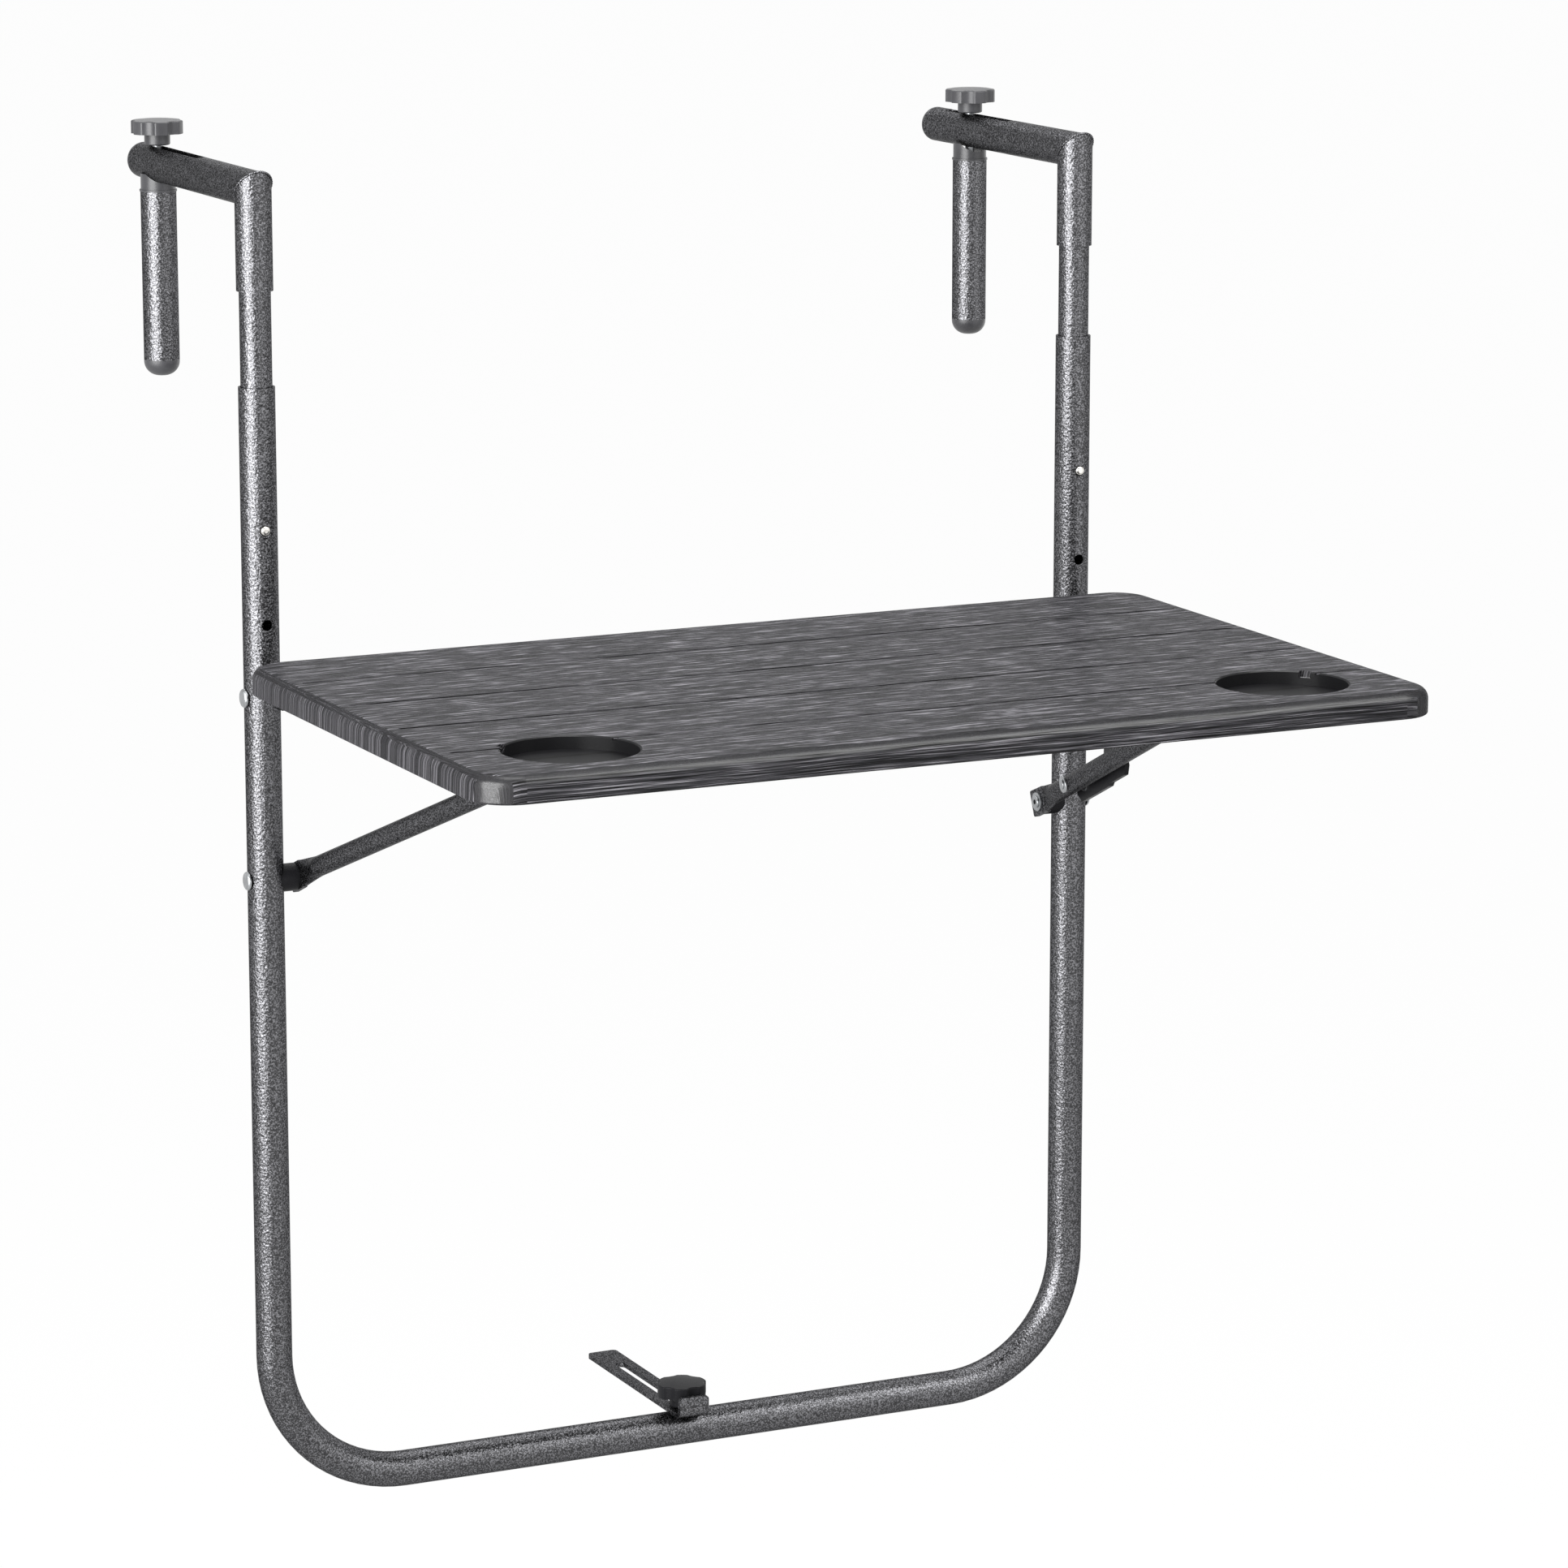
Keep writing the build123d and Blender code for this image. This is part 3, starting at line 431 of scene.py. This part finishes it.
def ring_surface(name, points):
    """Mesh from a grid of points that closes on itself both ways: rows follow u, columns follow v."""
    rows, columns = points.shape[:2]
    index = np.arange(rows * columns).reshape(rows, columns)
    index = np.vstack([index, index[:1]])
    index = np.hstack([index, index[:, :1]])
    corners = [index[:-1, :-1], index[1:, :-1], index[1:, 1:], index[:-1, 1:]]
    quads = np.stack(corners, axis=-1).reshape(-1, 4)
    mesh = bpy.data.meshes.new(name)
    mesh.from_pydata(points.reshape(-1, 3).tolist(), [], quads.tolist())
    mesh.polygons.foreach_set("use_smooth", np.ones(len(quads), dtype=bool))
    mesh.update()
    piece = bpy.data.objects.new(name, mesh)
    bpy.context.scene.collection.objects.link(piece)
    return piece


def weld_bead(name, x, body):
    """Weld round the mitre of arm and sleeve.

    Path: (x + R cos u, -R sin u, h + R sin u), the ellipse in which both tubes meet the mitre, where R is
    the tube's radius and h the height of the arm's axis.
    Profile: a circle square to the path, of radius r (1 + k cos nu) + f max(0, -sin u) to the sixth, where
    r is the weld's radius, k its ripple, n its number of ripples and f the fill of the inner corner.
    """
    u = np.linspace(0, 2 * pi, weld_path_steps, endpoint=False)[:, None]
    v = np.linspace(0, 2 * pi, weld_profile_steps, endpoint=False)[None, :]
    side, rise = tube_radius * np.cos(u), tube_radius * np.sin(u)
    centre = np.stack([x + side, -rise, arm_axis_z + rise], -1)
    tangent = np.stack([-np.sin(u), -np.cos(u), np.cos(u)], -1)
    tangent /= np.linalg.norm(tangent, axis=-1, keepdims=True)
    across = np.broadcast_to(np.array([0.0, 1.0, 1.0]) / np.sqrt(2), tangent.shape)
    outward = np.cross(tangent, across)
    rippled = weld_radius * (1 + weld_ripple * np.cos(weld_ripples * u))
    filled = weld_corner_fill * np.maximum(0, -np.sin(u)) ** 6
    radius = (rippled + filled)[..., None]
    points = centre + radius * (np.cos(v)[..., None] * outward + np.sin(v)[..., None] * across)
    piece = ring_surface(name, points)
    piece.data.materials.append(finishes["hammertone_paint"])
    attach(piece, body)


weld_bead("left_arm_weld", -post_x, "left_arm")
weld_bead("right_arm_weld", post_x, "right_arm")


# Stage

def seen_directly(tree, share):
    """The share for camera, glossy and transmission rays, and 0 for the light that reaches the object."""
    path = tree.nodes.new("ShaderNodeLightPath")
    seen = math_node(tree, "MAXIMUM", path.outputs["Is Camera Ray"], path.outputs["Is Glossy Ray"])
    seen = math_node(tree, "MAXIMUM", seen, path.outputs["Is Transmission Ray"])
    return times(tree, seen, share)


def mix_shaders(tree, share, first, second, target):
    """Mixes two shader nodes by a share of the second, into a target socket."""
    mix = tree.nodes.new("ShaderNodeMixShader")
    join(tree, share, mix.inputs[0])
    join(tree, first.outputs[0], mix.inputs[1])
    join(tree, second.outputs[0], mix.inputs[2])
    join(tree, mix.outputs[0], target)


def make_floor():
    """Wide pale floor that shows white to the camera and keeps a faint shadow."""
    mesh = bpy.data.meshes.new("floor")
    half = floor_half_size
    corners = [(-half, -half, floor_z), (half, -half, floor_z), (half, half, floor_z), (-half, half, floor_z)]
    mesh.from_pydata(corners, [], [(0, 1, 2, 3)])
    floor = bpy.data.objects.new("floor", mesh)
    bpy.context.scene.collection.objects.link(floor)
    material = bpy.data.materials.new("floor")
    material.use_nodes = True
    tree = material.node_tree
    tree.nodes.clear()
    leave = tree.nodes.new("ShaderNodeOutputMaterial")
    matte = place(tree, "ShaderNodeBsdfDiffuse", Color=(0.8, 0.8, 0.8, 1.0))
    glow = place(tree, "ShaderNodeEmission", Color=(1.0, 1.0, 1.0, 1.0), Strength=1.04)
    mix_shaders(tree, seen_directly(tree, 0.92), matte, glow, leave.inputs["Surface"])
    floor.data.materials.append(material)


def make_world():
    """Soft even surroundings, white where they are seen."""
    world = bpy.data.worlds.new("studio")
    world.use_nodes = True
    bpy.context.scene.world = world
    tree = world.node_tree
    tree.nodes.clear()
    leave = tree.nodes.new("ShaderNodeOutputWorld")
    soft = place(tree, "ShaderNodeBackground", Color=(1.0, 1.0, 1.0, 1.0), Strength=0.35)
    white = place(tree, "ShaderNodeBackground", Color=(1.0, 1.0, 1.0, 1.0), Strength=1.0)
    mix_shaders(tree, seen_directly(tree, 1.0), soft, white, leave.inputs["Surface"])


def direction(azimuth, elevation):
    """Unit vector from the object; azimuth 0 is in front of the board."""
    a, e = radians(azimuth), radians(elevation)
    return Vector((sin(a) * cos(e), -cos(a) * cos(e), sin(e)))


def aim(holder, azimuth, elevation, distance):
    """Puts a lamp or camera at a distance from the middle of the table and turns it to face the table."""
    away = direction(azimuth, elevation)
    holder.location = look_at + away * distance
    holder.rotation_euler = (-away).to_track_quat("-Z", "Y").to_euler()
    bpy.context.scene.collection.objects.link(holder)


def softbox(name, azimuth, elevation, width, height, power, distance=lamp_distance):
    """Rectangular lamp that faces the table."""
    lamp = bpy.data.lights.new(name, "AREA")
    lamp.shape = "RECTANGLE"
    lamp.size = width
    lamp.size_y = height
    lamp.energy = power
    holder = bpy.data.objects.new(name, lamp)
    holder.visible_camera = False
    aim(holder, azimuth, elevation, distance)


def make_camera():
    """Camera at the photograph's viewing angle."""
    camera = bpy.data.cameras.new("camera")
    camera.sensor_width = sensor_width
    camera.lens = focal_pixels / picture_pixels * sensor_width
    camera.clip_end = camera_reach
    holder = bpy.data.objects.new("camera", camera)
    aim(holder, camera_azimuth, camera_elevation, camera_distance)
    bpy.context.scene.camera = holder


make_floor()
make_world()
softbox("key", azimuth=-67, elevation=12, width=2.2, height=2.6, power=175.0)
softbox("fill", azimuth=20, elevation=8, width=3.4, height=2.4, power=20.0)
softbox("edge", azimuth=105, elevation=0, width=0.3, height=2.4, power=2.0)
softbox("side", azimuth=124, elevation=4, width=0.8, height=2.4, power=6.0)
softbox("front", azimuth=40, elevation=44, width=1.2, height=1.8, power=40.0)
softbox("overhead", azimuth=0, elevation=88, width=1.5, height=1.5, power=32.0)
softbox("back", azimuth=165, elevation=48, width=1.8, height=1.0, power=18.0, distance=2.8)
make_camera()
bpy.context.scene.view_settings.view_transform = "Standard"
